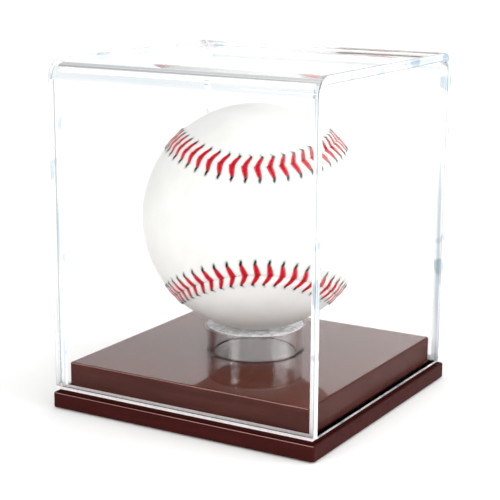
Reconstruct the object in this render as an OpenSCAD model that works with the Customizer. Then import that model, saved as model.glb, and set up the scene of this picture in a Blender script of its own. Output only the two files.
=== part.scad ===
// Display case for one baseball: a two-tier lacquered wooden base, a clear acrylic cover that
// lifts straight off, and a clear ring that holds the ball. Millimetres, +Z up. The origin is
// the centre of the underside, on the surface the case stands on.

/* [Base] */
// Side of the square lower board
base_w = 96; // [94:0.5:120]
// Height of the lower board's outer ledge above the board's underside
ledge_h = 5.1; // [4:0.1:8]
// Rise from the ledge to the seat that the cover stands on
seat_rise = 1.2; // [0.6:0.1:2]
// Side of the square seat
seat_w = 93; // [92:0.5:93]
// Side of the raised upper board
block_w = 88; // [86:0.5:90]
// Height of the upper board above the seat
block_h = 8.5; // [8:0.1:14]
// Rounding of the boards' long edges
edge_r = 0.6; // [0.2:0.1:0.8]
// Rounding of the boards' upright corners
corner_r = 0.9; // [0.4:0.1:2]

/* [Underside] */
// Thickness of the felt sheet
felt_t = 1; // [0.8:0.1:2]
// How far the felt stands below the board
felt_proud = 0.4; // [0.2:0.1:0.6]
// Side of the square felt sheet
felt_w = 86; // [60:1:88]
// Distance of each wood screw from the middle, along X and along Y
screw_pitch = 32; // [20:1:36]

/* [Cover] */
// Thickness of the acrylic sheet
sheet_t = 2.8; // [2:0.1:3]
// Clearance between the cover and the upper board, each side
cover_fit = 0.5; // [0.3:0.05:0.8]
// Outside height of the cover
cover_h = 106.5; // [104:0.5:130]
// Inside radius of the bends in the folded sheet
bend_r = 3.4; // [1.5:0.1:6]

/* [Ring] */
// Outside diameter of the ring
ring_od = 32; // [28:0.5:40]
// Wall of the ring
ring_wall = 2.2; // [2:0.1:3]
// Height of the ring above the upper board
ring_h = 9.2; // [8:0.1:12]
// Thickness of the web across the ring's top
web_t = 0.6; // [0.5:0.1:3]
// Diameter of the hole in the web, whose edge holds the ball
seat_hole_d = 16.4; // [12:0.2:18]
// Depth of the round groove that the ring stands in
groove_depth = 1; // [0.5:0.1:2]

/* [Ball] */
// Diameter of the ball
ball_d = 74.3; // [73:0.1:74.8]
// Narrowest gap between the two seams, as a share of the diameter
waist = 0.45; // [0.36:0.01:0.5]
// Turn of the ball about the upright axis
ball_turn = 31; // [0:1:90]
// Upward tilt of the leather's narrow waist
ball_tilt = 9; // [-5:0.5:15]
// Number of V stitches round the seam
stitch_n = 102; // [80:1:112]

/* [Hidden] */
$fn = 96;

// Small clearances
hair = 0.05;           // between glued faces and between the ball's layers
slip = 0.2;            // round the ring in its groove
over = 1;              // how far a cutting tool runs past the face it cuts

// Heights
plinth_z = felt_proud;
ledge_z = plinth_z + ledge_h;
seat_z = ledge_z + seat_rise;
block_top = seat_z + block_h;
pocket_z = felt_t;
ring_z = block_top - groove_depth;
ring_top = block_top + ring_h;

// Lip round the lower board: a shallow groove parts it from the seat
lip_w = 0.8;
quirk_depth = 0.4;

// Cover
cover_in = block_w + 2 * cover_fit;
cover_w = cover_in + 2 * sheet_t;

// Ring
ring_or = ring_od / 2;
ring_ir = ring_or - ring_wall;
ring_full_h = groove_depth + ring_h - hair;
seat_r = seat_hole_d / 2;
rim_w = 0.8;           // sloping seat round the hole's upper edge
rim_drop = 0.3;
ring_edge = 0.25;      // small chamfer on the ring's other edges
rest_gap = 0.1;        // between the ball and its sloping seat

// Ball
ball_r = ball_d / 2;
leather_t = 1.25;
facet_dip = 0.2;       // room for the leather's flat facets, which dip below its curve
cotton_r = ball_r - leather_t - facet_dip;
outer_wool_r = 34.9;
middle_wool_r = 32.7;
inner_wool_r = 30.9;
red_rubber_r = 17.4;
black_rubber_r = 15.6;
cork_r = 10.3;
seat_contact_r = seat_r + rim_w / 2;
seat_contact_z = ring_top - rim_drop / 2;
ball_z = seat_contact_z + sqrt(pow(ball_r + rest_gap, 2) - pow(seat_contact_r, 2));

// Seam curve on a unit sphere: seam_a + seam_b = 1, and its waist is seam_a - seam_b
seam_a = (1 + waist) / 2;
seam_b = (1 - waist) / 2;
seam_c = sqrt(seam_a * seam_b);
seam_gap = 0.2;        // between the two leather panels
seam_steps = 360;

// Stitches
stitch_r = 0.4;
stitch_phase = 0.05;   // where the first stitch falls, in stitches from the seam's start
stitch_reach = 4.6;    // from the seam to the far end of an arm, across the leather
stitch_sweep = 2.6;    // how far an arm leans back along the seam
stitch_foot = 0.5;     // from the seam to the near end of an arm

// Wood screws
screw_head_r = 2.9;
screw_head_h = 1.8;
screw_r = 1.45;
screw_len = 11;
screw_point = 2.5;
thread_pitch = 1.2;
thread_depth = 0.3;
pilot_r = 1.5;
pilot_len = 6;
cross_w = 0.7;
cross_l = 3.2;
cross_depth = 0.9;

// ---- outlines and profiles ----

// Square with round corners, centred
module round_square(w, r) {
    square([w - 2 * r, w], center = true);
    square([w, w - 2 * r], center = true);
    for (sx = [-1, 1], sy = [-1, 1])
        translate([sx * (w / 2 - r), sy * (w / 2 - r)])
            circle(r, $fn = 48);
}

// Upright slab outline, centred, with round upper corners and a flat foot
module round_top(w, h, r) {
    translate([-w / 2, 0])
        square([w, h - r]);
    translate([-w / 2 + r, 0])
        square([w - 2 * r, h]);
    for (s = [-1, 1])
        translate([s * (w / 2 - r), h - r])
            circle(r, $fn = 64);
}

// A square board whose upper edges are rounded and mitred, and whose upright corners are round
module board(w, h, r, upright_r) {
    intersection() {
        rotate([90, 0, 0])
            linear_extrude(w + 2 * over, center = true)
                round_top(w, h, r);
        rotate([90, 0, 90])
            linear_extrude(w + 2 * over, center = true)
                round_top(w, h, r);
        linear_extrude(h)
            round_square(w, upright_r);
    }
}

// Children copied to the four screw places
module at_screws() {
    for (sx = [-1, 1], sy = [-1, 1])
        translate([sx * screw_pitch, sy * screw_pitch, 0])
            children();
}

// ---- base ----

module base_plinth() {
    color("#4a1f1b")
        difference() {
            union() {
                translate([0, 0, plinth_z])
                    board(base_w, ledge_h, edge_r, corner_r);
                translate([0, 0, plinth_z])
                    linear_extrude(seat_z - plinth_z)
                        round_square(seat_w, corner_r);
            }
            translate([0, 0, ledge_z - quirk_depth])
                linear_extrude(quirk_depth + hair)
                    difference() {
                        round_square(base_w - 2 * lip_w, corner_r);
                        round_square(seat_w, corner_r);
                    }
            translate([0, 0, plinth_z - over])
                linear_extrude(pocket_z - plinth_z + over)
                    round_square(felt_w + 2 * slip, corner_r + slip);
            at_screws() {
                translate([0, 0, pocket_z - hair])
                    cylinder(h = screw_head_h + hair, r1 = screw_head_r + slip, r2 = screw_r + slip);
                cylinder(h = seat_z + over, r = screw_r + slip);
            }
        }
}

module base_block() {
    color("#5c2a22")
        difference() {
            translate([0, 0, seat_z])
                board(block_w, block_h, edge_r, corner_r);
            translate([0, 0, ring_z])
                linear_extrude(groove_depth + over)
                    difference() {
                        circle(ring_or + slip);
                        circle(ring_ir - slip);
                    }
            at_screws()
                translate([0, 0, seat_z - over])
                    cylinder(h = pilot_len + over, r = pilot_r);
        }
}

// One ridge of thread, on the shank between z0 and z0 + thread_pitch
function thread_points(z0) = [
    [screw_r - thread_depth, z0],
    [screw_r, z0 + thread_pitch / 2]];

module wood_screw() {
    thread_z = screw_head_h + 3;
    thread_end = screw_len - screw_point;
    thread = [for (z = [thread_z : thread_pitch : thread_end - thread_pitch])
        for (p = thread_points(z)) p];
    difference() {
        rotate_extrude()
            polygon(concat(
                [[0, 0], [screw_head_r, 0], [screw_r, screw_head_h], [screw_r, thread_z - hair]],
                thread,
                [[screw_r - thread_depth, thread_end], [0, screw_len]]));
        for (turn = [0, 90])
            rotate([0, 0, turn])
                translate([-cross_l / 2, -cross_w / 2, -over])
                    cube([cross_l, cross_w, cross_depth + over]);
    }
}

module base_screws() {
    color("#c9c2b4")
        at_screws()
            translate([0, 0, pocket_z + hair])
                wood_screw();
}

module felt_pad() {
    color("#23201f")
        linear_extrude(felt_t - hair)
            round_square(felt_w, corner_r);
}

// ---- cover ----

// Front, top and back in one sheet, folded twice
module cover_folded_sheet() {
    color("#dfeaf0", 0.3)
        translate([0, 0, seat_z])
            rotate([90, 0, 90])
                linear_extrude(cover_w, center = true)
                    difference() {
                        round_top(cover_w, cover_h, bend_r + sheet_t);
                        translate([0, -over])
                            round_top(cover_in, cover_h - sheet_t + over, bend_r);
                    }
}

// An end panel, let in flush between the folds
module cover_panel(side) {
    color("#d3e2ea", 0.3)
        translate([side * (cover_in + sheet_t) / 2, 0, seat_z])
            rotate([90, 0, 90])
                linear_extrude(sheet_t, center = true)
                    round_top(cover_in - 2 * hair, cover_h - sheet_t - hair, bend_r - hair);
}

module cover_left_panel() {
    cover_panel(-1);
}

module cover_right_panel() {
    cover_panel(1);
}

// ---- ring ----

// A short tube with a web across its top, which has a round hole for the ball to sit in
module ball_ring() {
    color("#e6eef2", 0.35)
        translate([0, 0, ring_z + hair])
            rotate_extrude()
                polygon([
                    [ring_ir + ring_edge, 0],
                    [ring_or - ring_edge, 0],
                    [ring_or, ring_edge],
                    [ring_or, ring_full_h - ring_edge],
                    [ring_or - ring_edge, ring_full_h],
                    [seat_r + rim_w, ring_full_h],
                    [seat_r, ring_full_h - rim_drop],
                    [seat_r, ring_full_h - web_t],
                    [ring_ir, ring_full_h - web_t],
                    [ring_ir, ring_edge]]);
}

// ---- ball ----

// Places a shape that is modelled about the ball's own axes, waist along +Z
module ball_place() {
    translate([0, 0, ball_z])
        rotate([0, 0, ball_turn])
            rotate([90 - ball_tilt, 0, 0])
                rotate([0, 0, 45])
                    children();
}

// A hollow layer of the ball, closed all round
module layer(outer_r, inner_r) {
    translate([0, 0, ball_z])
        difference() {
            sphere(outer_r);
            sphere(inner_r + hair);
        }
}

module ball_cork_core() {
    color("#b98a55")
        translate([0, 0, ball_z])
            sphere(cork_r);
}

module ball_black_rubber() {
    color("#202022")
        layer(black_rubber_r, cork_r);
}

module ball_red_rubber() {
    color("#9c2b26")
        layer(red_rubber_r, black_rubber_r);
}

module ball_inner_wool() {
    color("#8d8f93")
        layer(inner_wool_r, red_rubber_r);
}

module ball_middle_wool() {
    color("#e6e2d6")
        layer(middle_wool_r, inner_wool_r);
}

module ball_outer_wool() {
    color("#9b9da1")
        layer(outer_wool_r, middle_wool_r);
}

module ball_cotton_wrap() {
    color("#f0ece0")
        layer(cotton_r, outer_wool_r);
}

function unit(v) = v / norm(v);

// Seam point and its tangent at angle t, on a unit sphere
function seam(t) = [
    seam_a * cos(t) + seam_b * cos(3 * t),
    seam_a * sin(t) - seam_b * sin(3 * t),
    2 * seam_c * sin(2 * t)];
function seam_tangent(t) = unit([
    -seam_a * sin(t) - 3 * seam_b * sin(3 * t),
    seam_a * cos(t) - 3 * seam_b * cos(3 * t),
    4 * seam_c * cos(2 * t)]);
// Across the seam, towards panel A
function seam_side(t) = cross(seam(t), seam_tangent(t));

// Panel A is a grid: along the seam's half from one lobe's tip to the other's, and across the
// leather from that half to its mirror image
panel_rows = 60;
panel_cols = 16;
function mirrored(p) = [-p[1], -p[0], p[2]];
function panel_edge(i) =
    let (t = -45 + 180 * i / panel_rows)
    unit(seam(t) + seam_side(t) * seam_gap / 2 / ball_r);
function panel_dir(i, j) =
    let (p = panel_edge(i), q = mirrored(p))
    let (angle = acos(p * q), s = j / panel_cols)
    (p * sin((1 - s) * angle) + q * sin(s * angle)) / sin(angle);

// Directions: the first tip, the rows between, and the last tip
panel_dirs = concat(
    [panel_edge(0)],
    [for (i = [1 : panel_rows - 1], j = [0 : panel_cols]) panel_dir(i, j)],
    [panel_edge(panel_rows)]);
panel_n = len(panel_dirs);
function grid_at(i, j) = i == 0 ? 0 : i == panel_rows ? panel_n - 1 : 1 + (i - 1) * (panel_cols + 1) + j;

// Triangles of the outer skin; flipped and shifted, they are the inner skin
skin = concat(
    [for (i = [1 : panel_rows - 2], j = [0 : panel_cols - 1])
        [grid_at(i, j), grid_at(i + 1, j), grid_at(i + 1, j + 1)]],
    [for (i = [1 : panel_rows - 2], j = [0 : panel_cols - 1])
        [grid_at(i, j), grid_at(i + 1, j + 1), grid_at(i, j + 1)]],
    [for (j = [0 : panel_cols - 1]) [0, grid_at(1, j), grid_at(1, j + 1)]],
    [for (j = [0 : panel_cols - 1])
        [panel_n - 1, grid_at(panel_rows - 1, j + 1), grid_at(panel_rows - 1, j)]]);
inner_skin = [for (f = skin) [f[0] + panel_n, f[2] + panel_n, f[1] + panel_n]];

// The cut edge of the leather, along both long sides
function wall(p, q) = [[p, q + panel_n, q], [p, p + panel_n, q + panel_n]];
cut_edge = concat(
    [for (i = [0 : panel_rows - 1]) each wall(grid_at(i, 0), grid_at(i + 1, 0))],
    [for (i = [0 : panel_rows - 1]) each wall(grid_at(i + 1, panel_cols), grid_at(i, panel_cols))]);

module leather_panel() {
    polyhedron(
        points = concat(panel_dirs * ball_r, panel_dirs * (ball_r - leather_t)),
        faces = concat(skin, inner_skin, cut_edge));
}

module ball_leather_panel_a() {
    color("#f4f1ea")
        ball_place()
            leather_panel();
}

// The second panel is the first, turned a quarter and mirrored
module ball_leather_panel_b() {
    color("#f1eee6")
        ball_place()
            mirror([0, 0, 1])
                rotate([0, 0, 90])
                    leather_panel();
}

// Length along the seam at each step, to space the stitches evenly
seam_lengths = [for (
    i = 0, s = 0;
    i <= seam_steps;
    s = s + norm(seam((i + 1) * 360 / seam_steps) - seam(i * 360 / seam_steps)), i = i + 1)
    [s, i * 360 / seam_steps]];
seam_length = seam_lengths[seam_steps][0];

// A round bar from p to q
module bar(p, q, r) {
    d = q - p;
    translate(p)
        rotate([0, acos(d[2] / norm(d)), atan2(d[1], d[0])])
            cylinder(h = norm(d), r = r, $fn = 16);
}

module ball_stitches() {
    color("#b3202a")
        ball_place()
            for (k = [0 : stitch_n - 1], side = [-1, 1]) {
                t = lookup((k + stitch_phase) * seam_length / stitch_n, seam_lengths);
                out = seam(t) * ball_r;
                along = seam_tangent(t);
                across = seam_side(t) * side;
                near = out + across * stitch_foot;
                far = unit(out + across * stitch_reach - along * stitch_sweep) * ball_r;
                bar(near, far, stitch_r);
            }
}

base_plinth();
base_block();
base_screws();
felt_pad();
cover_folded_sheet();
cover_left_panel();
cover_right_panel();
ball_ring();
ball_cork_core();
ball_black_rubber();
ball_red_rubber();
ball_inner_wool();
ball_middle_wool();
ball_outer_wool();
ball_cotton_wrap();
ball_leather_panel_a();
ball_leather_panel_b();
ball_stitches();
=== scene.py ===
"""A baseball display case with its ball: the visual model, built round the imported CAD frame.

Metres, +Z up, origin at the centre of the underside. Sizes that the frame doesn't hold are named
below in millimetres and multiplied by MM.
"""
from math import cos, hypot, pi, radians, sin, sqrt

import bmesh
import bpy
import numpy as np
from mathutils import Matrix, Quaternion, Vector


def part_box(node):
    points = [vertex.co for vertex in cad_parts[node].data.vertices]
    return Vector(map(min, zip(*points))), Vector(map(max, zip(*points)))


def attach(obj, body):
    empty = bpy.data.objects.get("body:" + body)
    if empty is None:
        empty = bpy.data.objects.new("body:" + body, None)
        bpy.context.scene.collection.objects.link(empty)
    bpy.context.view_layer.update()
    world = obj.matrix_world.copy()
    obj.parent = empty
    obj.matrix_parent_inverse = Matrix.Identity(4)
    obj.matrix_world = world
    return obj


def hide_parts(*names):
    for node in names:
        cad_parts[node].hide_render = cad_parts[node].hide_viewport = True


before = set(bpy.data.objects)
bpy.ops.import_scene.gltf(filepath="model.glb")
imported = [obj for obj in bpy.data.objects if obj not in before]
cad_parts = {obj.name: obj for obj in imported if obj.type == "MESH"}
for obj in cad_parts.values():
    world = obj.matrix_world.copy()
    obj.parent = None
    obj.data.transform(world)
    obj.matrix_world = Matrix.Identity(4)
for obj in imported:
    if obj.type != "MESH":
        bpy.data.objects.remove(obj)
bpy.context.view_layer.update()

MM = 0.001

# ---- sizes taken from the CAD frame ----
plinth_lo, plinth_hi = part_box("base_plinth")
block_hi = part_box("base_block")[1]
felt_lo, felt_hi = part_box("felt_pad")
sheet_lo, sheet_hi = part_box("cover_folded_sheet")
panel_lo, panel_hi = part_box("cover_right_panel")
ring_lo, ring_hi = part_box("ball_ring")
core_lo, core_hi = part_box("ball_cork_core")

BASE_HALF = plinth_hi.x
BASE_FOOT = plinth_lo.z
BLOCK_HALF = block_hi.x
BLOCK_TOP = block_hi.z
SEAT_Z = sheet_lo.z                # where the cover stands
SHEET_T = panel_hi.x - panel_lo.x
COVER_HALF = sheet_hi.x
COVER_IN = COVER_HALF - SHEET_T
COVER_TOP = sheet_hi.z
RING_R = ring_hi.x
BALL_CENTRE = (core_lo + core_hi) / 2

# ---- sizes that the frame doesn't hold ----
EDGE_R = 0.6 * MM                  # rounding of the boards' upper edges
EDGE_STEPS = 8
PAINTED_LINE_FROM, PAINTED_LINE_TO = 28, 50        # degrees up that rounding where its painted line starts and ends: highlight at front and back, shade at the ends
CORNER_R = 0.9 * MM                # rounding of the boards' upright corners
LEDGE_Z = SEAT_Z - 1.2 * MM        # top of the lower board's outer ledge
LIP_W = 0.8 * MM                   # the fine lip along that ledge
QUIRK_DEPTH = 0.4 * MM             # the shallow groove behind the lip
SEAT_HALF = 46.5 * MM              # the raised seat that the cover stands on
POCKET_HALF = felt_hi.x + 0.2 * MM
POCKET_Z = 1.0 * MM
GROOVE_SLIP = 0.2 * MM             # gap on each side of the ring in its groove
GROOVE_Z = BLOCK_TOP - 1.0 * MM

BEND_IN = 3.4 * MM                 # inside radius of the folded sheet's bends
BEND_OUT = BEND_IN + SHEET_T
BEND_STEPS = 14
PANEL_GAP = 0.05 * MM              # the cemented joint round an end panel
POLISH_R = 0.3 * MM                # rounding of the folded sheet's polished edges
PANEL_EDGE_R = 0.08 * MM           # rounding of the end panels' edges
FOOT_BAND = 0.95 * MM              # height of the frosted strip at the cover's foot

RING_WALL = 2.2 * MM
RING_SEAT_R = 8.2 * MM             # the hole in the ring's web, whose edge holds the ball
RING_WEB_T = 0.6 * MM
RING_RIM_W = 0.8 * MM              # sloping seat round the hole
RING_RIM_DROP = 0.3 * MM
RING_EDGE = 0.3 * MM
RING_STEPS = 160

BALL_R = 37.15 * MM
LEATHER_T = 1.25 * MM
SEAM_GAP = 0.06 * MM               # between the two panels where their edges are sewn together
SEAM_WAIST = 0.45                  # narrowest gap between the two seams, as a share of the diameter
BALL_TURN = 31                     # degrees about the upright axis
BALL_TILT = 9                      # degrees, upward tilt of the leather's waist
STITCHES = 102
STITCH_PHASE = 0.05                # place of the first stitch, as a share of the pitch


# ---- mesh helpers ----

def face_outward(mesh, weld=None):
    """Turns every face outward, after joining points closer together than weld."""
    bm = bmesh.new()
    bm.from_mesh(mesh)
    if weld:
        bmesh.ops.remove_doubles(bm, verts=bm.verts, dist=weld)
        bmesh.ops.dissolve_degenerate(bm, edges=bm.edges, dist=weld / 10)
    bmesh.ops.recalc_face_normals(bm, faces=bm.faces)
    bm.to_mesh(mesh)
    bm.free()


def add_piece(name, points, faces, materials, body, node, face_slots=None, sharp=35,
              flats=True):
    """A mesh that rides on a body, stands for a CAD node and takes the finishes that it is given.

    Edges that turn by more than sharp degrees stay sharp. With flats, its large faces keep their
    own direction up to their rounded edges.
    """
    mesh = bpy.data.meshes.new(name)
    mesh.from_pydata([tuple(p) for p in points], [], faces)
    for material in materials:
        mesh.materials.append(material)
    if face_slots is not None:
        mesh.polygons.foreach_set("material_index", face_slots)
    face_outward(mesh)
    mesh.shade_smooth()
    mesh.set_sharp_from_angle(angle=radians(sharp))
    piece = bpy.data.objects.new(name, mesh)
    bpy.context.scene.collection.objects.link(piece)
    if flats:
        even = piece.modifiers.new("flat_faces", "WEIGHTED_NORMAL")
        even.keep_sharp = True
        even.weight = 100
    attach(piece, body)
    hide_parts(node)
    return piece


def store(piece, label, values):
    """Keeps a number at each point of a piece, which its material reads by the label."""
    layer = piece.data.attributes.new(label, "FLOAT", "POINT")
    layer.data.foreach_set("value", np.array(values, np.float32).ravel())


def bridge(first, second, count):
    """Quads between two closed rings of count points, given each ring's first index."""
    return [(first + k, first + (k + 1) % count, second + (k + 1) % count, second + k)
            for k in range(count)]


def loft(rings, capped=True):
    """Points and faces of a skin through rings that all have the same number of points."""
    count = len(rings[0])
    points = [p for ring in rings for p in ring]
    faces = []
    for r in range(len(rings) - 1):
        faces += bridge(r * count, (r + 1) * count, count)
    if capped:
        start = (len(rings) - 1) * count
        faces.append(tuple(reversed(range(count))))
        faces.append(tuple(range(start, start + count)))
    return points, faces


def lathe(profile, steps):
    """Points and faces of a closed profile of (radius, height) points turned round the Z axis."""
    count = len(profile)
    points, faces = [], []
    for k in range(steps):
        a = 2 * pi * k / steps
        points += [(r * cos(a), r * sin(a), z) for r, z in profile]
    for k in range(steps):
        here, there = k * count, (k + 1) % steps * count
        faces += [(here + j, there + j, there + (j + 1) % count, here + (j + 1) % count)
                  for j in range(count)]
    return points, faces


def arc(centre_a, centre_b, radius, start, end, steps):
    """Points of an arc in a plane, angles in degrees."""
    angles = [radians(start + (end - start) * k / steps) for k in range(steps + 1)]
    return [(centre_a + radius * cos(a), centre_b + radius * sin(a)) for a in angles]


def square_ring(half, radius, z, corner_steps=6, side_steps=1):
    """A level square with round corners, anticlockwise from the +X side."""
    reach = half - radius
    side = [(half, -reach + 2 * reach * k / side_steps) for k in range(1, side_steps)]
    quarter = side + arc(reach, reach, radius, 0, 90, corner_steps)
    ring = []
    for turn in (0, 90, 180, 270):
        c, s = cos(radians(turn)), sin(radians(turn))
        ring += [(c * x - s * y, s * x + c * y, z) for x, y in quarter]
    return ring


def circle_like(ring, radius, z):
    """The points of a ring moved out or in to a circle, each along its own direction."""
    return [(radius * x / hypot(x, y), radius * y / hypot(x, y), z) for x, y, _ in ring]


def lowest(corners):
    """The lowest height among a face's corners."""
    return min(c[2] for c in corners)


def extent(corners, axis):
    """How far a face reaches along an axis."""
    return max(c[axis] for c in corners) - min(c[axis] for c in corners)


# ---- material helpers ----

class Nodes:
    """The node tree of a material or world. Its calls take and give output sockets."""

    def __init__(self, owner):
        owner.use_nodes = True
        self.tree = owner.node_tree
        self.tree.nodes.clear()

    def feed(self, node, inputs):
        """Puts values or links on the named inputs of a node."""
        for key, value in inputs.items():
            if isinstance(value, bpy.types.NodeSocket):
                self.tree.links.new(value, node.inputs[key])
            else:
                node.inputs[key].default_value = value

    def add(self, kind, output, inputs=None, **settings):
        """A new node with these settings and inputs: the named output of it, or with None all."""
        node = self.tree.nodes.new(kind)
        for key, value in settings.items():
            setattr(node, key, value)
        self.feed(node, inputs or {})
        return node.outputs[output] if output else node

    def ramp(self, source, stops):
        """A colour ramp over (position, colour) stops."""
        node = self.add("ShaderNodeValToRGB", None, {"Fac": source})
        band = node.color_ramp
        while len(band.elements) < len(stops):
            band.elements.new(0.5)
        for element, (position, colour) in zip(band.elements, stops):
            element.position = position
            element.color = (*colour, 1)
        return node.outputs["Color"]

    def mix(self, factor, a, b, how="MIX"):
        return self.add("ShaderNodeMix", "Result", {"Factor": factor, "A": a, "B": b},
                        data_type="RGBA", blend_type=how)

    def multiply(self, a, b):
        return self.mix(1, a, b, "MULTIPLY")


class Finish(Nodes):
    """A material with one Principled shader, patterned in object coordinates."""

    def __init__(self, name):
        self.material = bpy.data.materials.new(name)
        super().__init__(self.material)
        self.shader = self.add("ShaderNodeBsdfPrincipled", None)
        self.add("ShaderNodeOutputMaterial", None, {"Surface": self.shader.outputs["BSDF"]})
        self.place = self.add("ShaderNodeTexCoord", "Object")

    def set(self, **values):
        """Values or links on the shader's own sockets; underscores stand for spaces."""
        self.feed(self.shader, {key.replace("_", " "): value for key, value in values.items()})

    def mapped(self, **change):
        """Object coordinates with another Scale or Rotation."""
        return self.add("ShaderNodeMapping", "Vector", {"Vector": self.place, **change})

    def noise(self, scale, stretch=(1, 1, 1), detail=4, rough=0.55, distortion=0):
        return self.add("ShaderNodeTexNoise", "Fac",
                        {"Vector": self.mapped(Scale=stretch), "Scale": scale, "Detail": detail,
                         "Roughness": rough, "Distortion": distortion})

    def cells(self, scale):
        """Random cells: the distance from each cell's middle, and a colour for each cell."""
        node = self.add("ShaderNodeTexVoronoi", None, {"Vector": self.place, "Scale": scale},
                        feature="F1")
        return node.outputs["Distance"], node.outputs["Color"]

    def stored(self, label):
        """A number that store() keeps at the mesh's points."""
        return self.add("ShaderNodeAttribute", "Fac", attribute_name=label)

    def spread(self, source, low, high):
        """A factor from 0 to 1 mapped to low to high."""
        return self.add("ShaderNodeMapRange", "Result",
                        {"Value": source, "To Min": low, "To Max": high})

    def bump(self, *layers):
        """Bumps stacked on each other, from (height, strength, depth in millimetres) layers."""
        below = {}
        for height, strength, depth in layers:
            normal = self.add("ShaderNodeBump", "Normal", {"Height": height, "Strength": strength,
                                                           "Distance": depth * MM, **below})
            below = {"Normal": normal}
        self.set(**below)


ACRYLIC_INDEX = 1.49


def grey(value):
    return (value, value, value)


def lacquer(name, colour, index, roughness, contrast=0.28):
    """Mahogany under gloss lacquer, its grain along X and lighter or darker by the contrast."""
    m = Finish(name)
    grain = m.noise(60, (0.6, 9, 9), detail=6, rough=0.6, distortion=0.6)
    tones = ((0.25, 1 - contrast), (0.55, 1), (0.8, 1 + contrast))
    wood = m.ramp(grain, [(place, [c * tone for c in colour]) for place, tone in tones])
    cloud = m.ramp(m.noise(25, detail=3), [(0.3, grey(0.9)), (0.7, grey(1))])
    haze = m.spread(m.noise(180, detail=2), roughness * 0.8, roughness * 1.25)
    peel = m.noise(700, detail=1)
    m.set(Base_Color=m.multiply(wood, cloud), Roughness=haze, IOR=index)
    m.bump((grain, 0.05, 0.05), (peel, 0.03, 0.04))
    return m.material


def acrylic(name, index, gloss=1.0, cover=1.0, stretch=(1, 1, 1), tint=(0.985, 0.992, 0.995),
            clearest=(1, 1, 1)):
    """Clear cast sheet, faintly wavy, and coloured from tint to clearest along its waves.

    gloss is the strength of its mirror images, and cover the share of light that it acts on.
    """
    m = Finish(name)
    wave = m.noise(14, stretch, detail=1)
    m.set(Base_Color=m.ramp(wave, [(0.3, tint), (0.7, clearest)]),
          Roughness=m.spread(wave, 0.0, 0.004), IOR=index, Transmission_Weight=1.0,
          Specular_Tint=(gloss, gloss, gloss, 1), Alpha=cover)
    m.bump((wave, 0.02, 0.2))
    return m.material


def painted_glow_edge(name, stretch, dark=(0.52, 0.60, 0.66)):
    """A cut edge painted white as if glowing, with painted reflections as dark streaks and patches.
    """
    m = Finish(name)
    streak = m.noise(420, stretch, detail=2)
    patch = m.noise(90, detail=1)
    painted_reflection_lines = m.ramp(streak, [(0.36, dark), (0.46, (0.97, 0.98, 0.99)), (0.7, grey(1))])
    painted_reflection_patches = m.ramp(patch, [(0.38, dark), (0.42, grey(1))])
    m.set(Base_Color=m.multiply(painted_reflection_lines, painted_reflection_patches), Roughness=m.spread(streak, 0.15, 0.4),
          IOR=ACRYLIC_INDEX, Transmission_Weight=0.28)
    m.bump((streak, 0.1, 0.03))
    return m.material


def frosted(name):
    """The sanded foot of the acrylic sheet: white, with a pink cast painted in for light from the
    mahogany.
    """
    m = Finish(name)
    scratch = m.noise(900, (1, 1, 0.2), detail=3)
    m.set(Base_Color=m.ramp(scratch, [(0.3, (0.74, 0.69, 0.69)), (0.7, (0.88, 0.84, 0.84))]),
          Roughness=m.spread(scratch, 0.35, 0.6), IOR=ACRYLIC_INDEX, Transmission_Weight=0.35)
    m.bump((scratch, 0.2, 0.05))
    return m.material


def leather():
    """Smooth white leather with fine pores; painted shade darkens it in the stitch holes and the
    seam.
    """
    m = Finish("white_leather")
    pores, _ = m.cells(1400)
    grain = m.noise(900, detail=3)
    skin = m.ramp(m.noise(90), [(0.3, (0.68, 0.673, 0.655)), (0.7, (0.73, 0.724, 0.708))])
    shadow = m.ramp(m.stored("hollow"), [(0.0, grey(1)), (1.0, (0.12, 0.09, 0.08))])
    m.set(Base_Color=m.multiply(skin, shadow), Roughness=m.spread(grain, 0.42, 0.58),
          Specular_IOR_Level=0.35)
    m.bump((pores, 0.12, 0.06), (grain, 0.1, 0.05))
    return m.material


def red_thread():
    """Waxed thread: twisted fibres; painted shade darkens its edges and paints it black in a hole."""
    m = Finish("red_thread")
    fibres = m.noise(2600, detail=3)
    # the red dye, with painted shade where it dives into the seam and black painted shade in its hole
    dye_and_painted_shade = m.ramp(m.stored("along"), [(0.0, (0.30, 0.003, 0.010)), (0.08, (0.56, 0.004, 0.018)),
                                     (0.42, (0.50, 0.004, 0.016)), (0.50, (0.06, 0.002, 0.003)),
                                     (0.55, (0.002, 0.002, 0.002))])
    # painted shade along the thread's edges
    edge = m.ramp(m.stored("across"), [(0.0, grey(1)), (0.75, grey(1)), (1.0, (0.25, 0.22, 0.22))])
    speck = m.ramp(fibres, [(0.3, grey(0.75)), (0.65, grey(1))])
    m.set(Base_Color=m.multiply(m.multiply(dye_and_painted_shade, edge), speck),
          Roughness=m.spread(fibres, 0.4, 0.6), Specular_IOR_Level=0.08)
    m.bump((fibres, 0.3, 0.06))
    return m.material


def felt():
    """Black pressed felt."""
    m = Finish("black_felt")
    fluff = m.noise(1800, detail=6, rough=0.7, distortion=1.5)
    m.set(Base_Color=m.ramp(fluff, [(0.3, (0.006, 0.006, 0.007)), (0.7, (0.03, 0.028, 0.028))]),
          Roughness=m.spread(fluff, 0.85, 1.0), Specular_IOR_Level=0.2, Sheen_Weight=0.4)
    m.bump((fluff, 0.6, 0.2))
    return m.material


def zinc():
    """Plated screw steel with turning marks."""
    m = Finish("zinc_steel")
    marks = m.noise(1500, (1, 1, 6), detail=2)
    m.set(Base_Color=m.ramp(marks, [(0.3, (0.56, 0.55, 0.50)), (0.7, (0.72, 0.71, 0.66))]),
          Roughness=m.spread(marks, 0.22, 0.4), Metallic=1.0)
    m.bump((marks, 0.1, 0.03))
    return m.material


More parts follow.
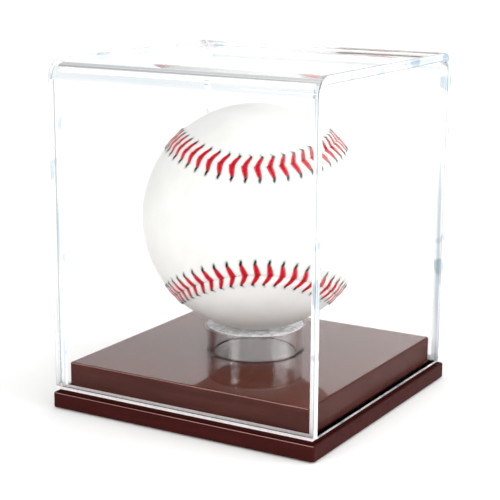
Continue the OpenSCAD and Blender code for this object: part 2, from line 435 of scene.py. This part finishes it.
def speckled(name, scale, low, high, roughness):
    """Granulated cork or moulded rubber."""
    m = Finish(name)
    distance, tone = m.cells(scale)
    m.set(Base_Color=m.ramp(tone, [(0.2, low), (0.8, high)]),
          Roughness=m.spread(distance, roughness, roughness + 0.2), Specular_IOR_Level=0.3)
    m.bump((distance, 0.3, 0.1))
    return m.material


def wound_yarn(name, low, high):
    """Yarn wound in great circles in three crossing directions."""
    m = Finish(name)
    turns = [m.add("ShaderNodeTexWave", "Color",
                   {"Vector": m.mapped(Rotation=turn), "Scale": 320, "Distortion": 1.5},
                   wave_type="BANDS")
             for turn in ((0.3, 0.2, 0), (1.4, 0.7, 0.4), (0.8, 2.1, 1.3))]
    patch = m.noise(45, detail=1)
    some = m.mix(patch, turns[0], turns[1])
    yarn = m.mix(patch, some, turns[2], "LIGHTEN")
    m.set(Base_Color=m.ramp(yarn, [(0.1, low), (0.9, high)]),
          Roughness=m.spread(patch, 0.75, 0.95), Sheen_Weight=0.3, Specular_IOR_Level=0.2)
    m.bump((yarn, 0.6, 0.2))
    return m.material


LOWER_LACQUER = lacquer("mahogany_lower", (0.042, 0.0085, 0.0075), 1.08, 0.12)
UPPER_LACQUER = lacquer("mahogany_upper", (0.068, 0.024, 0.020), 1.1, 0.12)
# the upper board's top: a lit copy of its lacquer, coloured for how the light falls on the top
TOP_LIT_LACQUER = lacquer("mahogany_top_lit_copy", (0.085, 0.014, 0.005), 1.3, 0.06, contrast=0.12)
# a pale highlight painted along the boards' rounded front and back edges
EDGE_HIGHLIGHT_PAINT = lacquer("mahogany_painted_edge_highlight", (0.58, 0.31, 0.28), 1.4, 0.1)
# a dark line of painted shade along the boards' rounded end edges
EDGE_SHADE_PAINT = lacquer("mahogany_painted_edge_shade", (0.022, 0.0025, 0.002), 1.08, 0.1)

# the sheets' large faces bend little of the light, so that they stay clear at every angle
CLEAR_FACE = acrylic("clear_acrylic", 1.03, cover=0.15)
# the bends and the rounded edges take grey tints: painted shade, darkest on the rounds
BEND_SHADED_ACRYLIC = acrylic("clear_acrylic_bends_painted_shade", ACRYLIC_INDEX, gloss=0.6, stretch=(1, 30, 30),
                     tint=(0.78, 0.84, 0.88))
ROUND_SHADED_ACRYLIC = acrylic("clear_acrylic_rounds_painted_shade", ACRYLIC_INDEX, tint=(0.22, 0.25, 0.28),
                      clearest=(0.5, 0.53, 0.56))
# the sanded foot, its pink cast painted in for light from the mahogany
FROSTED_WITH_PAINTED_CAST = frosted("frosted_acrylic_with_painted_cast")
# the sheet's cut edges: painted glow, with painted reflections
UPRIGHT_EDGE_GLOW = painted_glow_edge("acrylic_upright_edges_painted_glow", (1, 1, 0.03))
LEVEL_EDGE_GLOW = painted_glow_edge("acrylic_level_edges_painted_glow", (1, 0.03, 1))
SHEET_FINISHES = [CLEAR_FACE, FROSTED_WITH_PAINTED_CAST, UPRIGHT_EDGE_GLOW, LEVEL_EDGE_GLOW, BEND_SHADED_ACRYLIC, ROUND_SHADED_ACRYLIC]
FACE_SLOT, FROSTED_SLOT, UPRIGHT_SLOT, LEVEL_SLOT, BEND_SLOT, ROUND_SLOT = range(6)
RING_CLEAR = acrylic("ring_acrylic", ACRYLIC_INDEX)
# the top of the ring's web is painted white as a glow, almost without the dark reflections
RING_TOP_GLOW = painted_glow_edge("ring_top_acrylic_painted_glow", (1, 1, 1), dark=(0.94, 0.95, 0.96))
LEATHER = leather()
THREAD = red_thread()
FELT = felt()


# ---- base ----

SIDE_SLOT, HIGHLIGHT_SLOT, EDGE_SHADE_SLOT, TOP_SLOT = range(4)


def board_slot(corners, top, half):
    """The slot of a face of a board: its side, or the fine line along its rounded upper edge.

    On the front and back edges that line is a painted highlight, on the end edges a painted shade.
    """
    x, y, z = (sum(abs(c[axis]) for c in corners) / len(corners) for axis in range(3))
    low = top - EDGE_R * (1 - sin(radians(PAINTED_LINE_FROM)))
    high = top - EDGE_R * (1 - sin(radians(PAINTED_LINE_TO)))
    if not (low < z < high and max(x, y) > half - EDGE_R):
        return SIDE_SLOT
    return HIGHLIGHT_SLOT if y > x else EDGE_SHADE_SLOT


def plinth():
    """The lower board: a rounded lip, a shallow groove behind it, the seat, and the felt's pocket."""
    foot_r = 0.3 * MM
    chamfer = 0.12 * MM
    hidden_half = BLOCK_HALF - 2 * MM  # the top closes under the upper board
    lip_in = BASE_HALF - LIP_W
    quirk_z = LEDGE_Z - QUIRK_DEPTH
    side = arc(BASE_HALF - foot_r, BASE_FOOT + foot_r, foot_r, -90, 0, 3)
    side += arc(BASE_HALF - EDGE_R, LEDGE_Z - EDGE_R, EDGE_R, 0, 90, EDGE_STEPS)
    seat = arc(SEAT_HALF - chamfer, SEAT_Z - chamfer, chamfer, 0, 90, 3)
    # each section is a level square: its half width, its corners' radius and its height
    sections = [(POCKET_HALF, CORNER_R, POCKET_Z), (POCKET_HALF, CORNER_R, BASE_FOOT)]
    sections += [(half, CORNER_R - (BASE_HALF - half), z) for half, z in side]
    sections += [(lip_in + chamfer, CORNER_R, LEDGE_Z), (lip_in, CORNER_R, LEDGE_Z - chamfer),
                 (lip_in, CORNER_R, quirk_z), (SEAT_HALF, CORNER_R, quirk_z)]
    sections += [(half, CORNER_R - (SEAT_HALF - half), z) for half, z in seat]
    sections.append((hidden_half, CORNER_R, SEAT_Z))
    points, faces = loft([square_ring(half, radius, z) for half, radius, z in sections])
    slots = [board_slot([points[i] for i in face], LEDGE_Z, BASE_HALF) for face in faces]
    add_piece("lower_board", points, faces, [LOWER_LACQUER, EDGE_HIGHLIGHT_PAINT, EDGE_SHADE_PAINT], "base",
              "base_plinth", slots)


def block():
    """The upper board, with the round groove that the ring stands in."""
    foot_r = 0.15 * MM
    smallest_r = 0.05 * MM
    flat_rim = 0.25 * MM
    soft = 0.1 * MM
    side = arc(BLOCK_HALF - foot_r, SEAT_Z + foot_r, foot_r, -90, 0, 2)
    side += arc(BLOCK_HALF - EDGE_R, BLOCK_TOP - EDGE_R, EDGE_R, 0, 90, EDGE_STEPS)
    side.append((BLOCK_HALF - EDGE_R - flat_rim, BLOCK_TOP))
    rings = [square_ring(half, max(CORNER_R - (BLOCK_HALF - half), smallest_r), z,
                         corner_steps=8, side_steps=36) for half, z in side]
    groove_out = RING_R + GROOVE_SLIP
    groove_in = RING_R - RING_WALL - GROOVE_SLIP
    groove = [(groove_out + 4 * soft, BLOCK_TOP), (groove_out + soft, BLOCK_TOP),
              (groove_out, BLOCK_TOP - soft), (groove_out, GROOVE_Z), (groove_in, GROOVE_Z),
              (groove_in, BLOCK_TOP - soft), (groove_in - soft, BLOCK_TOP),
              (groove_in - 4 * soft, BLOCK_TOP)]
    rings += [circle_like(rings[0], radius, z) for radius, z in groove]
    points, faces = loft(rings)
    slots = []
    for face in faces:
        corners = [points[i] for i in face]
        on_top = lowest(corners) > BLOCK_TOP - 0.02 * MM
        slots.append(TOP_SLOT if on_top else board_slot(corners, BLOCK_TOP, BLOCK_HALF))
    add_piece("upper_board", points, faces,
              [UPPER_LACQUER, EDGE_HIGHLIGHT_PAINT, EDGE_SHADE_PAINT, TOP_LIT_LACQUER], "base", "base_block",
              slots)


def felt_sheet():
    """The felt under the base, with soft edges."""
    half = felt_hi.x
    soft = 0.3 * MM
    inner_half = half - 12 * MM
    side = [(inner_half, felt_lo.z)]
    side += arc(half - soft, felt_lo.z + soft, soft, -90, 0, 4)
    side += arc(half - soft, felt_hi.z - soft, soft, 0, 90, 4)
    side.append((inner_half, felt_hi.z))
    rings = []
    for reach, z in side:
        drawn_in = half - reach
        radius = CORNER_R + soft - drawn_in if drawn_in < CORNER_R else CORNER_R
        rings.append(square_ring(reach, radius, z, corner_steps=5, side_steps=24))
    points, faces = loft(rings)
    piece = add_piece("felt_sheet", points, faces, [FELT], "base", "felt_pad")


# ---- cover ----

FLAT = 0.01 * MM                          # a face with less reach along an axis is square to it
LEVEL_FROM = COVER_TOP - BEND_OUT * 0.6   # height from which a cut edge counts as level
FOOT_TOP = SEAT_Z + FOOT_BAND


def sheet_outline(inset):
    """The folded sheet seen from the end: an upside-down U, drawn in by inset all round."""
    out, inner = COVER_HALF - inset, COVER_IN + inset
    top, ceiling = COVER_TOP - inset, COVER_TOP - SHEET_T + inset
    r_out, r_in = BEND_OUT - inset, BEND_IN + inset
    foot = SEAT_Z + inset
    points = [(-out, foot), (-out, FOOT_TOP)]
    points += arc(-out + r_out, top - r_out, r_out, 180, 90, BEND_STEPS)
    points += arc(out - r_out, top - r_out, r_out, 90, 0, BEND_STEPS)
    points += [(out, FOOT_TOP), (out, foot), (inner, foot), (inner, FOOT_TOP)]
    points += arc(inner - r_in, ceiling - r_in, r_in, 0, 90, BEND_STEPS)
    points += arc(-inner + r_in, ceiling - r_in, r_in, 90, 180, BEND_STEPS)
    points += [(-inner, FOOT_TOP), (-inner, foot)]
    return points


def panel_outline(inset):
    """An end panel seen from the end: a slab with round upper corners, drawn in by inset."""
    out = COVER_IN - PANEL_GAP - inset
    top = COVER_TOP - SHEET_T - PANEL_GAP - inset
    r = BEND_IN - PANEL_GAP - inset
    foot = SEAT_Z + inset
    points = [(-out, foot), (-out, FOOT_TOP)]
    points += arc(-out + r, top - r, r, 180, 90, BEND_STEPS)
    points += arc(out - r, top - r, r, 90, 0, BEND_STEPS)
    points += [(out, FOOT_TOP), (out, foot)]
    return points


def slab_rings(outline, x_lo, x_hi, edge):
    """Rings along X through an outline whose two ends have rounded edges."""
    turns = [radians(a) for a in (0, 30, 60, 90)]
    stations = [(x_lo + edge - edge * cos(a), edge - edge * sin(a)) for a in turns]
    stations += [(x_hi - edge + edge * cos(a), edge - edge * sin(a)) for a in turns[::-1]]
    return [[(x, y, z) for y, z in outline(inset)] for x, inset in stations]


def in_foot(corners):
    """Whether a face belongs to the frosted strip round the outside of the sheet's foot."""
    high = max(c[2] for c in corners)
    out = min(max(abs(c[0]), abs(c[1])) for c in corners)
    return high < SEAT_Z + FOOT_BAND * 1.01 and out > COVER_HALF - POLISH_R * 1.1


def skin_slot(corners):
    """The slot of a face that runs along the folded sheet's outline."""
    if in_foot(corners):
        return FROSTED_SLOT
    if extent(corners, 0) <= SHEET_T:
        return ROUND_SLOT
    flat = extent(corners, 1) < FLAT or extent(corners, 2) < FLAT
    return FACE_SLOT if flat else BEND_SLOT


def cut_slot(corners):
    """The slot of a face on a cut edge."""
    if in_foot(corners):
        return FROSTED_SLOT
    return LEVEL_SLOT if lowest(corners) > LEVEL_FROM else UPRIGHT_SLOT


def folded_sheet():
    """Front, top and back in one sheet, folded twice."""
    rings = slab_rings(sheet_outline, -COVER_HALF, COVER_HALF, POLISH_R)
    points, faces = loft(rings, capped=False)
    slots = [skin_slot([points[i] for i in face]) for face in faces]
    # the two ends are strips between the outline's outer half and its inner half
    count = len(rings[0])
    for start in (0, len(points) - count):
        for k in range(count // 2 - 1):
            face = tuple(start + i for i in (k, k + 1, count - 2 - k, count - 1 - k))
            faces.append(face)
            slots.append(cut_slot([points[i] for i in face]))
    add_piece("cover_front_top_back", points, faces, SHEET_FINISHES, "cover",
              "cover_folded_sheet", slots, sharp=40)


def end_panel(name, node, side):
    """One end of the cover, cemented flush between the folds."""
    lo, hi = sorted((side * COVER_IN, side * COVER_HALF))
    points, faces = loft(slab_rings(panel_outline, lo, hi, PANEL_EDGE_R))
    slots = []
    for face in faces:
        corners = [points[i] for i in face]
        across = extent(corners, 0) > SHEET_T / 2
        slots.append(cut_slot(corners) if across or in_foot(corners) else FACE_SLOT)
    add_piece(name, points, faces, SHEET_FINISHES, "cover", node, slots,
              sharp=40)


# ---- ring ----

def ball_stand():
    """The clear ring: a short tube with a web across its top, and the ball's seat in the web."""
    lo, hi = ring_lo.z, ring_hi.z
    inner = RING_R - RING_WALL
    web_lo = hi - RING_WEB_T
    e = RING_EDGE
    seat_edge, fillet = 0.12 * MM, 0.15 * MM
    profile = arc(RING_R - e, lo + e, e, -90, 0, 4)
    profile += arc(RING_R - e, hi - e, e, 0, 90, 6)
    profile += arc(RING_SEAT_R + RING_RIM_W, hi - seat_edge, seat_edge, 90, 110, 2)
    profile += arc(RING_SEAT_R + seat_edge, hi - RING_RIM_DROP - seat_edge, seat_edge, 110, 180, 3)
    profile += arc(RING_SEAT_R + seat_edge, web_lo + seat_edge, seat_edge, 180, 270, 3)
    profile += arc(inner - fillet, web_lo - fillet, fillet, 90, 0, 6)
    profile += arc(inner + e, lo + e, e, 180, 270, 4)
    points, faces = lathe(profile, RING_STEPS)
    slots = [int(lowest([points[i] for i in face]) > hi - RING_WEB_T * 1.01) for face in faces]
    add_piece("clear_ring", points, faces, [RING_CLEAR, RING_TOP_GLOW], "ring", "ball_ring",
              slots, sharp=50)


# ---- ball ----

# The seam is a closed curve on the unit sphere: sums of a first and a third harmonic across,
# and a second harmonic up and down.
SEAM_A = (1 + SEAM_WAIST) / 2
SEAM_B = (1 - SEAM_WAIST) / 2
SEAM_C = sqrt(SEAM_A * SEAM_B)


def unit(v):
    return v / np.linalg.norm(v, axis=-1, keepdims=True)


def seam(t):
    """Points of the seam on a unit sphere at angles t, in radians."""
    return np.stack([SEAM_A * np.cos(t) + SEAM_B * np.cos(3 * t),
                     SEAM_A * np.sin(t) - SEAM_B * np.sin(3 * t),
                     2 * SEAM_C * np.sin(2 * t)], axis=-1)


def seam_frame(t):
    """The seam's points, its directions, and the directions across it towards panel A."""
    points = seam(t)
    along = unit(np.stack([-SEAM_A * np.sin(t) - 3 * SEAM_B * np.sin(3 * t),
                           SEAM_A * np.cos(t) - 3 * SEAM_B * np.cos(3 * t),
                           4 * SEAM_C * np.cos(2 * t)], axis=-1))
    return points, along, np.cross(points, along)


SEAM_T = np.linspace(0, 2 * pi, 7201)
SEAM_S = np.concatenate([[0], np.cumsum(np.linalg.norm(np.diff(seam(SEAM_T), axis=0), axis=1))])
SEAM_S *= BALL_R / MM                      # length along the seam, in millimetres
SEAM_LENGTH = SEAM_S[-1]
PITCH = SEAM_LENGTH / STITCHES


def length_at(t):
    """Length along the seam at angle t, in millimetres."""
    return np.interp(t % (2 * pi), SEAM_T, SEAM_S)


def angle_at(length):
    """The seam's angle t at a length along it, in millimetres."""
    return np.interp(length % SEAM_LENGTH, SEAM_S, SEAM_T)


# A stitch is drawn on the leather with u along the seam and s across it, in millimetres. Its
# point is at u = 0 and its two arms lean back, the broad one on panel A (side 1) and a shorter
# one on panel B (side -1).
ARM_LEAD = {1: -0.95, -1: -1.15}   # middle of the arm's wide end
ARM_REACH = {1: 4.1, -1: 2.9}      # from the seam to where the arm narrows into its tail
ARM_LEAN = {1: 1.15, -1: 1.3}      # how far back the arm leans over that reach
ARM_WIDTH = {1: 2.0, -1: 1.6}      # at the seam
ARM_THICK = 0.42                   # at the seam
ARM_THINNING = 0.1                 # how much thinner it is at its tail
ARM_START = -0.15                  # where the arm starts, a little beyond the seam
ARM_RINGS = 18
ARM_AROUND = 16                    # points round each ring
TAIL_REACH = {1: 1.35, -1: 1.05}   # from the arm's end to its hole
TAIL_HOOK = {1: 0.35, -1: 0.2}     # how far the tail turns forward again
TAIL_WIDTH = 0.9
TAIL_NARROWING = 0.25              # how much narrower it is at its hole
FURROW = 0.3                       # depth between the thread's plies, as a share of its thickness

# the thread's middle above the leather, and how far it dives into the seam and into its hole
THREAD_LIFT = 0.2
SEAM_DIVE, SEAM_DIVE_AT, SEAM_DIVE_W = 0.5, -0.12, 0.25
HOLE_DIVE = 0.4

# the leather's relief: heights or depths, and widths from the middle to where a third is left
WELT_HEIGHT, WELT_AT, WELT_W = 0.3, 1.9, 1.7
CREASE_DEPTH, CREASE_W = 0.16, 0.42
PRESSED_DEPTH, PRESSED_W = 0.28, 0.85
PRESSED_FADE = 3                   # how quickly a pressed bed ends at its arm's end
HOLE_DEPTH, HOLE_W, HOLE_L = 0.35, 0.32, 0.34
# painted shade in the stitch holes and along the seam's crease
HOLE_SHADE, CREASE_SHADE = 0.9, 0.04


def bell(distance, width):
    """A smooth hump, 1 in its middle."""
    return np.exp(-(distance / width) ** 2)


def arm_u(s, side):
    """Middle of an arm at distance s from the seam."""
    reach = np.minimum(s / ARM_REACH[side], 1)
    hook = np.clip((s - ARM_REACH[side]) / TAIL_REACH[side], 0, 1.5)
    return ARM_LEAD[side] - ARM_LEAN[side] * reach ** 1.3 + TAIL_HOOK[side] * hook ** 1.5


def relief(s, u, side):
    """Height of the leather above its sphere, and its painted shade in holes and crease (0 to 1)."""
    crease = bell(s, CREASE_W)
    welt = bell(s - WELT_AT, WELT_W)
    off = (u - STITCH_PHASE * PITCH - arm_u(s, side)) % PITCH
    off = np.minimum(off, PITCH - off)
    pressed = bell(off, PRESSED_W) / (1 + np.exp((s - ARM_REACH[side]) * PRESSED_FADE))
    hole = bell(off, HOLE_W) * bell(s - ARM_REACH[side] - TAIL_REACH[side], HOLE_L)
    height = (WELT_HEIGHT * welt - CREASE_DEPTH * crease
              - PRESSED_DEPTH * pressed * (1 - crease) - HOLE_DEPTH * hole)
    return height, np.clip(HOLE_SHADE * hole + CREASE_SHADE * crease, 0, 1)


def mirrored(p):
    """The same points on the other side of a panel's long middle line."""
    return np.stack([-p[..., 1], -p[..., 0], p[..., 2]], axis=-1)


def between(p, q, share):
    """Points on the great circle from p to q."""
    angle = np.arccos(np.clip((p * q).sum(-1, keepdims=True), -1, 1))
    same = angle < 1e-6
    safe = np.where(same, 1, angle)
    mixed = (p * np.sin((1 - share) * safe) + q * np.sin(share * safe)) / np.sin(safe)
    return np.where(same, p, mixed)


# places what is modelled about the ball's own axes, with the leather's waist along +Z
BALL_PLACE = np.array(Matrix.Translation(BALL_CENTRE) @ Matrix.Rotation(radians(BALL_TURN), 4, "Z")
                      @ Matrix.Rotation(radians(90 - BALL_TILT), 4, "X")
                      @ Matrix.Rotation(radians(45), 4, "Z"))


def placed(points):
    """Ball coordinates to the frame's coordinates."""
    return points @ BALL_PLACE[:3, :3].T + BALL_PLACE[:3, 3]


ROWS = 620             # along half the seam
FINE_STEPS = 22        # across the stitched margin
FINE_REACH = 6.6       # width of the stitched margin, in millimetres
FINE_CROWDING = 1.25   # above 1, the steps are closer together near the seam
MIDDLE_STEPS = 16      # across the leather between the margins
INNER_STEPS = 10       # across the lining


def leather_panel(name, node, quarter):
    """One leather panel: a closed skin whose rows run from margin to margin and back inside.

    Panel A has quarter 0. Panel B is the same shape a quarter turn on and upside down, and its
    margin lies on the other side of the seam.
    """
    side = -1 if quarter else 1
    start = length_at(-pi / 4)
    t = angle_at(np.linspace(start, start + SEAM_LENGTH / 2, ROWS + 1))
    p, _, across = seam_frame(t)
    edge = SEAM_GAP / 2 / MM
    s = edge + (FINE_REACH - edge) * np.linspace(0, 1, FINE_STEPS + 1) ** FINE_CROWDING
    near = unit(p[:, None] + across[:, None] * (s * MM / BALL_R)[None, :, None])
    far = mirrored(near)
    share = (np.arange(1, MIDDLE_STEPS) / MIDDLE_STEPS)[None, :, None]
    middle = between(near[:, -1:], far[:, -1:], share)
    # heights in the two margins; the seam's own angle differs on each side and for each panel
    turn = quarter * pi / 2
    h_near, d_near = relief(s[None, :], length_at(t + turn)[:, None], side)
    h_far, d_far = relief(s[None, :], length_at(-pi / 2 - t + turn)[:, None], side)
    zero = np.zeros((ROWS + 1, MIDDLE_STEPS - 1))
    outer = np.concatenate([near, middle, far[:, ::-1]], axis=1)
    height = np.concatenate([h_near, zero, h_far[:, ::-1]], axis=1)
    skin = outer * (BALL_R + height[..., None] * MM)
    inner_share = (np.arange(INNER_STEPS + 1) / INNER_STEPS)[None, :, None]
    lining = between(far[:, :1], near[:, :1], inner_share) * (BALL_R - LEATHER_T)
    # the painted shade, none in the middle or on the lining
    hollow = np.concatenate([d_near, zero, d_far[:, ::-1], np.zeros(lining.shape[:2])], axis=1)
    grid = np.concatenate([skin, lining], axis=1)
    if quarter:
        grid = np.stack([-grid[..., 1], grid[..., 0], -grid[..., 2]], axis=-1)
    columns = grid.shape[1]
    faces = []
    for i in range(ROWS):
        faces += bridge(i * columns, (i + 1) * columns, columns)
    piece = add_piece(name, placed(grid.reshape(-1, 3)), faces, [LEATHER], "ball", node,
                      sharp=50, flats=False)
    store(piece, "hollow", hollow)
    # the two halves of the first and the last row meet at the lobes' tips
    face_outward(piece.data, weld=1e-6)


def stitch_arm(u0, side):
    """Rings of points along one arm of the stitch at u0.

    With them go how far along the arm each ring is, 0 to 0.5 on the arm and up to 1 on its tail,
    and how far from the arm's middle each point of a ring is, 0 to 1.
    """
    s = np.linspace(ARM_START, ARM_REACH[side] + TAIL_REACH[side], ARM_RINGS)
    arm = np.clip(s / ARM_REACH[side], 0, 1)
    tail = np.clip((s - ARM_REACH[side]) / TAIL_REACH[side], 0, 1)
    width = (ARM_WIDTH[side] + (TAIL_WIDTH - ARM_WIDTH[side]) * arm ** 2.6
             - TAIL_NARROWING * tail)
    thick = ARM_THICK - ARM_THINNING * arm
    lift = THREAD_LIFT - SEAM_DIVE * bell(s - SEAM_DIVE_AT, SEAM_DIVE_W) - HOLE_DIVE * tail ** 4
    angle = 2 * pi * np.arange(ARM_AROUND) / ARM_AROUND
    centre_u = arm_u(np.maximum(s, 0), side)
    u = centre_u[:, None] + np.cos(angle)[None, :] * width[:, None] / 2
    # three plies lie side by side, with a furrow between each two
    plies = 1 - FURROW * (1 - np.abs(np.cos(1.5 * pi * np.cos(angle))))[None, :]
    bed, _ = relief(np.maximum(s, 0), u0 + centre_u, side)
    height = (bed + lift)[:, None] + np.sin(angle)[None, :] * thick[:, None] / 2 * plies
    p, along, across = seam_frame(np.array(angle_at(u0)))
    direction = unit(p + along * (u * MM / BALL_R)[..., None]
                     + across * side * (s * MM / BALL_R)[:, None, None])
    how_far = np.where(tail > 0, 1 + tail, arm) / 2
    return direction * (BALL_R + height[..., None] * MM), how_far, np.abs(np.cos(angle))


def stitches():
    """Every stitch arm as its own flat thread, from the seam to its hole."""
    points, faces, along_values, across_values = [], [], [], []
    for k in range(STITCHES):
        for side in (1, -1):
            rings, along, across = stitch_arm((k + STITCH_PHASE) * PITCH, side)
            start = len(points)
            points += list(rings.reshape(-1, 3))
            last = len(points) - ARM_AROUND
            for first in range(start, last, ARM_AROUND):
                faces += bridge(first, first + ARM_AROUND, ARM_AROUND)
            faces.append(tuple(range(start, start + ARM_AROUND)))
            faces.append(tuple(range(last, last + ARM_AROUND)))
            along_values += list(np.repeat(along, ARM_AROUND))
            across_values += list(np.tile(across, ARM_RINGS))
    piece = add_piece("red_stitches", placed(np.array(points)), faces, [THREAD], "ball",
                      "ball_stitches", sharp=60, flats=False)
    store(piece, "along", along_values)
    store(piece, "across", across_values)


def hidden_nodes():
    """The CAD's screws and the ball's inner layers keep their shape and get their own materials."""
    cork = speckled("cork_composition", 700, (0.28, 0.15, 0.07), (0.50, 0.33, 0.18), 0.7)
    black = speckled("black_rubber", 2500, (0.012, 0.012, 0.013), (0.03, 0.03, 0.032), 0.5)
    red = speckled("red_rubber", 2500, (0.22, 0.02, 0.015), (0.33, 0.035, 0.025), 0.5)
    grey_wool = wound_yarn("grey_wool", (0.16, 0.165, 0.17), (0.42, 0.43, 0.45))
    white_wool = wound_yarn("white_wool", (0.5, 0.48, 0.42), (0.82, 0.80, 0.74))
    cotton = wound_yarn("cotton_yarn", (0.6, 0.58, 0.5), (0.9, 0.88, 0.82))
    finish = {"ball_cork_core": cork, "ball_black_rubber": black, "ball_red_rubber": red,
              "ball_inner_wool": grey_wool, "ball_middle_wool": white_wool,
              "ball_outer_wool": grey_wool, "ball_cotton_wrap": cotton, "base_screws": zinc()}
    for node, material in finish.items():
        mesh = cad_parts[node].data
        mesh.materials.clear()
        mesh.materials.append(material)


# ---- studio ----

# the camera is in front and to the right, a little above, and the backdrop is opposite it
CAMERA_AZIMUTH = 30.44             # degrees from straight in front, towards the right
CAMERA_ELEVATION = 12.97
CAMERA_ROLL = 0.31
CAMERA_DISTANCE = 468.7 * MM
CAMERA_LENS, CAMERA_SENSOR = 102.3, 36
AIM_HEIGHT = 49.2 * MM
AIM_LEFT = 1.9 * MM                # how far left of the upright axis it aims

ROOM_LIGHT = 2.2
# the room's brightness along each axis: (place on the axis, share of the brightest)
ROOM_TONES = {"X": ((-1, 0.25), (-0.2, 1.0)), "Y": ((-0.4, 0.72), (0.7, 1.0)),
              "Z": ((0, 1.0), (1, 0.65))}
# dark flanks on either side of the backdrop, which give clear edges their outline: the share of
# the room's light at a cosine of the angle from the middle of the backdrop
FLANKS = ((0.45, 1.0), (0.6, 0.45), (0.84, 0.45), (0.92, 1.0))

STRIP_ELEVATION = 15.5             # degrees above the ball's centre
STRIP_DISTANCE = 1.2
STRIP_HEIGHT = 0.06
FLOOR_REACH = 6.0
BOUNCES = 32                       # light passes many clear surfaces


def floor():
    """A plain pale floor under and behind the case."""
    m = Finish("pale_floor")
    tone = m.noise(3, detail=2)
    m.set(Base_Color=m.ramp(tone, [(0.3, (0.91, 0.91, 0.905)), (0.7, (0.93, 0.93, 0.925))]),
          Roughness=0.9, Specular_IOR_Level=0.1)
    corners = [(-FLOOR_REACH, -FLOOR_REACH, 0), (FLOOR_REACH, -FLOOR_REACH, 0),
               (FLOOR_REACH, FLOOR_REACH, 0), (-FLOOR_REACH, FLOOR_REACH, 0)]
    mesh = bpy.data.meshes.new("studio_floor")
    mesh.from_pydata(corners, [], [(0, 1, 2, 3)])
    mesh.materials.append(m.material)
    ground = bpy.data.objects.new("studio_floor", mesh)
    bpy.context.scene.collection.objects.link(ground)


def sky():
    """A bright room, darker on the left, in front and overhead, with a flanked backdrop."""
    world = bpy.data.worlds.new("white_room")
    bpy.context.scene.world = world
    w = Nodes(world)
    way = w.add("ShaderNodeTexCoord", "Generated")
    split = w.add("ShaderNodeSeparateXYZ", None, {"Vector": way})
    tone = None
    for axis, ((start, dark), (end, bright)) in ROOM_TONES.items():
        share = w.add("ShaderNodeMapRange", "Result",
                      {"Value": split.outputs[axis], "From Min": start, "From Max": end,
                       "To Min": dark, "To Max": bright}, interpolation_type="SMOOTHSTEP")
        if tone is None:
            tone = share
        else:
            tone = w.add("ShaderNodeMath", "Value", {0: tone, 1: share}, operation="MULTIPLY")
    azimuth = radians(CAMERA_AZIMUTH)
    ahead = w.add("ShaderNodeVectorMath", "Value", {0: way, 1: (-sin(azimuth), cos(azimuth), 0)},
                  operation="DOT_PRODUCT")
    flanked = w.multiply(tone, w.ramp(ahead, [(place, grey(share)) for place, share in FLANKS]))
    # what is seen directly is a plain white backdrop
    direct = w.add("ShaderNodeLightPath", "Is Camera Ray")
    seen = w.mix(direct, flanked, (1, 1, 1, 1))
    light = w.add("ShaderNodeBackground", "Background", {"Color": seen, "Strength": ROOM_LIGHT})
    w.add("ShaderNodeOutputWorld", None, {"Surface": light})


def set_up(name, data, target, azimuth, elevation, distance, roll=0):
    """Puts a lamp or camera round a target and turns it to face that; angles in degrees."""
    a, e = radians(azimuth), radians(elevation)
    back = Vector((sin(a) * cos(e), -cos(a) * cos(e), sin(e)))
    thing = bpy.data.objects.new(name, data)
    thing.location = target + back * distance
    thing.rotation_mode = "QUATERNION"
    thing.rotation_quaternion = Quaternion(back, radians(roll)) @ back.to_track_quat("Z", "Y")
    bpy.context.scene.collection.objects.link(thing)
    return thing


def strip_lamp(name, azimuth, width, radiance):
    """A low, wide lamp aimed at the ball, with one brightness over its whole face."""
    data = bpy.data.lights.new(name, "AREA")
    data.shape = "RECTANGLE"
    data.size = width
    data.size_y = STRIP_HEIGHT
    data.energy = radiance * pi * width * STRIP_HEIGHT
    set_up(name, data, BALL_CENTRE, azimuth, STRIP_ELEVATION, STRIP_DISTANCE)


def camera():
    """The photograph's view."""
    azimuth = radians(CAMERA_AZIMUTH)
    left = Vector((-cos(azimuth), -sin(azimuth), 0))
    target = Vector((0, 0, AIM_HEIGHT)) + left * AIM_LEFT
    data = bpy.data.cameras.new("camera")
    data.lens = CAMERA_LENS
    data.sensor_width = CAMERA_SENSOR
    data.clip_start = 0.01
    data.clip_end = 50
    bpy.context.scene.camera = set_up("camera", data, target, CAMERA_AZIMUTH, CAMERA_ELEVATION,
                                      CAMERA_DISTANCE, CAMERA_ROLL)


plinth()
block()
felt_sheet()
folded_sheet()
end_panel("cover_left_end", "cover_left_panel", -1)
end_panel("cover_right_end", "cover_right_panel", 1)
ball_stand()
leather_panel("leather_panel_a", "ball_leather_panel_a", 0)
leather_panel("leather_panel_b", "ball_leather_panel_b", 1)
stitches()
hidden_nodes()
floor()
sky()
# the ring's wall and the polished board mirror these two as upright bars
strip_lamp("left_strip", -20, 0.38, 60)
strip_lamp("right_strip", 97, 0.9, 34)
camera()
bpy.context.scene.view_settings.view_transform = "Standard"
light_paths = bpy.context.scene.cycles
light_paths.max_bounces = BOUNCES
light_paths.glossy_bounces = BOUNCES
light_paths.transmission_bounces = BOUNCES
light_paths.transparent_max_bounces = BOUNCES
